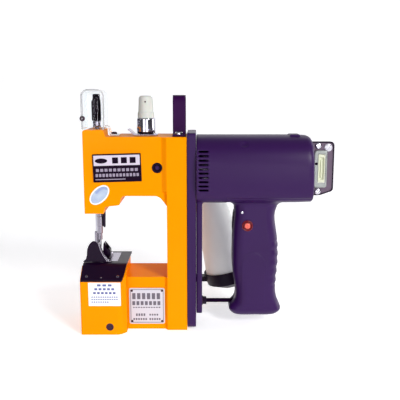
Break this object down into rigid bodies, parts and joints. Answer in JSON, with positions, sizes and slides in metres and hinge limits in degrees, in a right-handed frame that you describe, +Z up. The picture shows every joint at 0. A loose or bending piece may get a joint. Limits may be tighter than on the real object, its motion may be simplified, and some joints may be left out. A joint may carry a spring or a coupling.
{
  "type": "bag closer sewing machine",
  "caption": "Portable chain-stitch sewing machine with a C-shaped arm, a motor barrel and a pistol handle, for sewing filled sacks shut.",
  "frame": {"origin": "middle of the casting's flat underside, on the surface the machine stands on", "axes": "+X from the needle to the far end of the motor, +Y from the front to the back, +Z up"},
  "size_m": [0.268, 0.1384, 0.255],
  "materials": {
    "orange_paint": "gloss",
    "purple_plastic": "satin",
    "black_steel": "satin",
    "black_plastic": "satin",
    "black_rubber": "matte",
    "chrome": "polished",
    "steel": "satin",
    "bronze": "satin",
    "copper_winding": "satin",
    "aluminium": "satin",
    "clear_plastic": "gloss",
    "white_plastic": "satin",
    "cream_plastic": "satin",
    "red_plastic": "gloss",
    "label_black": "satin",
    "thread": "matte",
    "bracket_paint": "satin"
  },
  "bodies": {
    "frame": {"main_casting": "orange_paint", "casting_back_cover": "orange_paint", "looper_cover": "orange_paint", "needle_plate": "steel", "bag_guide": "black_steel", "foot_guard": "black_steel", "needle_bar_cover": "clear_plastic", "main_shaft_bush": "bronze", "main_shaft_bearing": "steel", "lower_shaft_bush": "bronze", "lower_shaft_bearing": "steel", "presser_spring": "steel", "timing_belt": "black_rubber", "motor_bulkhead": "aluminium", "motor_bearing_front": "steel", "motor_stator": "steel", "brush_holder": "black_plastic", "motor_bearing_rear": "steel", "belt_cover": "purple_plastic", "housing_front": "purple_plastic", "housing_back": "purple_plastic", "tie_rod": "black_steel", "trigger_switch": "black_plastic", "end_bracket": "bracket_paint", "inlet_bezel": "aluminium", "inlet_insert": "cream_plastic", "hanger_bail": "black_steel", "hanger_screw": "chrome", "oil_pump_base": "steel", "oil_pump_collar": "chrome", "oil_reservoir": "white_plastic", "cone_tray": "black_plastic", "cone_spindle": "steel", "tension_post": "steel", "brand_plate": "label_black", "rating_plate": "aluminium", "front_plug": "black_plastic"},
    "motor_armature": {"motor_rotor": "copper_winding", "motor_fan": "black_plastic"},
    "counter_shaft": {"counter_gear": "steel"},
    "main_shaft_set": {"main_shaft": "steel", "crank_disc": "steel", "main_gear": "steel", "upper_pulley": "aluminium"},
    "crank_link": {"connecting_link": "steel"},
    "lower_shaft_set": {"lower_shaft": "steel", "lower_pulley": "aluminium"},
    "needle_bar_set": {"needle_bar": "chrome", "needle_bar_cap": "black_rubber", "needle": "chrome"},
    "presser_set": {"presser_bar": "chrome", "presser_foot": "black_steel"},
    "lift_lever_arm": {"lift_lever": "black_steel"},
    "looper_arm": {"looper": "steel"},
    "feed_bar": {"feed_dog": "steel"},
    "trigger_key": {"trigger": "black_plastic"},
    "lock_key": {"lock_button": "red_plastic"},
    "pump_head": {"oil_pump_nozzle": "white_plastic"},
    "tension_nut": {"tension_knob": "chrome"},
    "cone_of_thread": {"thread_cone": "thread"}
  },
  "joints": [
    {"name": "motor_spin", "type": "hinge", "parent": "frame", "child": "motor_armature", "pos_m": [0.125, 0, 0.172], "axis": [1, 0, 0], "continuous": true},
    {"name": "counter_spin", "type": "hinge", "parent": "frame", "child": "counter_shaft", "pos_m": [0.078, 0.016, 0.172], "axis": [1, 0, 0], "continuous": true},
    {"name": "main_shaft_spin", "type": "hinge", "parent": "frame", "child": "main_shaft_set", "pos_m": [0.02, 0, 0.172], "axis": [1, 0, 0], "continuous": true},
    {"name": "crank_link_turn", "type": "hinge", "parent": "main_shaft_set", "child": "crank_link", "pos_m": [-0.0396, 0, 0.183], "axis": [1, 0, 0], "continuous": true},
    {"name": "lower_shaft_spin", "type": "hinge", "parent": "frame", "child": "lower_shaft_set", "pos_m": [0.02, 0, 0.03], "axis": [1, 0, 0], "continuous": true},
    {"name": "needle_bar_slide", "type": "slide", "parent": "frame", "child": "needle_bar_set", "axis": [0, 0, 1], "range_m": [-0.022, 0]},
    {"name": "lift_lever_turn", "type": "hinge", "parent": "frame", "child": "lift_lever_arm", "pos_m": [-0.039, 0.032, 0.166], "axis": [0, 1, 0], "range_deg": [0, 50]},
    {"name": "presser_slide", "type": "slide", "parent": "frame", "child": "presser_set", "axis": [0, 0, 1], "range_m": [0, 0.0061], "deforming": ["presser_spring"]},
    {"name": "looper_swing", "type": "hinge", "parent": "frame", "child": "looper_arm", "pos_m": [-0.049, 0, 0.044], "axis": [0, 1, 0], "range_deg": [0, 12]},
    {"name": "feed_dog_slide", "type": "slide", "parent": "frame", "child": "feed_bar", "axis": [0, 1, 0], "range_m": [-0.0035, 0.0035]},
    {"name": "trigger_pull", "type": "slide", "parent": "frame", "child": "trigger_key", "axis": [1, 0, 0], "range_m": [0, 0.005], "stiffness_N_per_m": 300, "springref_m": -0.001},
    {"name": "lock_button_press", "type": "slide", "parent": "frame", "child": "lock_key", "axis": [0, 1, 0], "range_m": [0, 0.003], "stiffness_N_per_m": 250, "springref_m": -0.001},
    {"name": "oil_pump_press", "type": "slide", "parent": "frame", "child": "pump_head", "axis": [0, 0, -1], "range_m": [0, 0.005], "stiffness_N_per_m": 400, "springref_m": -0.001},
    {"name": "tension_knob_turn", "type": "hinge", "parent": "frame", "child": "tension_nut", "pos_m": [-0.002, 0.037, 0.178], "axis": [0, 1, 0], "range_deg": [-180, 180]},
    {"name": "thread_cone_lift", "type": "slide", "parent": "frame", "child": "cone_of_thread", "axis": [-0.2588, 0, 0.9659], "range_m": [0, 0.11]}
  ],
  "couplings": [
    {"joint": "counter_spin", "follows": "motor_spin", "ratio": -0.33333},
    {"joint": "main_shaft_spin", "follows": "motor_spin", "ratio": 0.14286},
    {"joint": "crank_link_turn", "follows": "motor_spin", "ratio": -0.14286},
    {"joint": "lower_shaft_spin", "follows": "motor_spin", "ratio": 0.14286},
    {"joint": "lift_lever_turn", "follows": "presser_slide", "rad_per_m": 142.86}
  ]
}
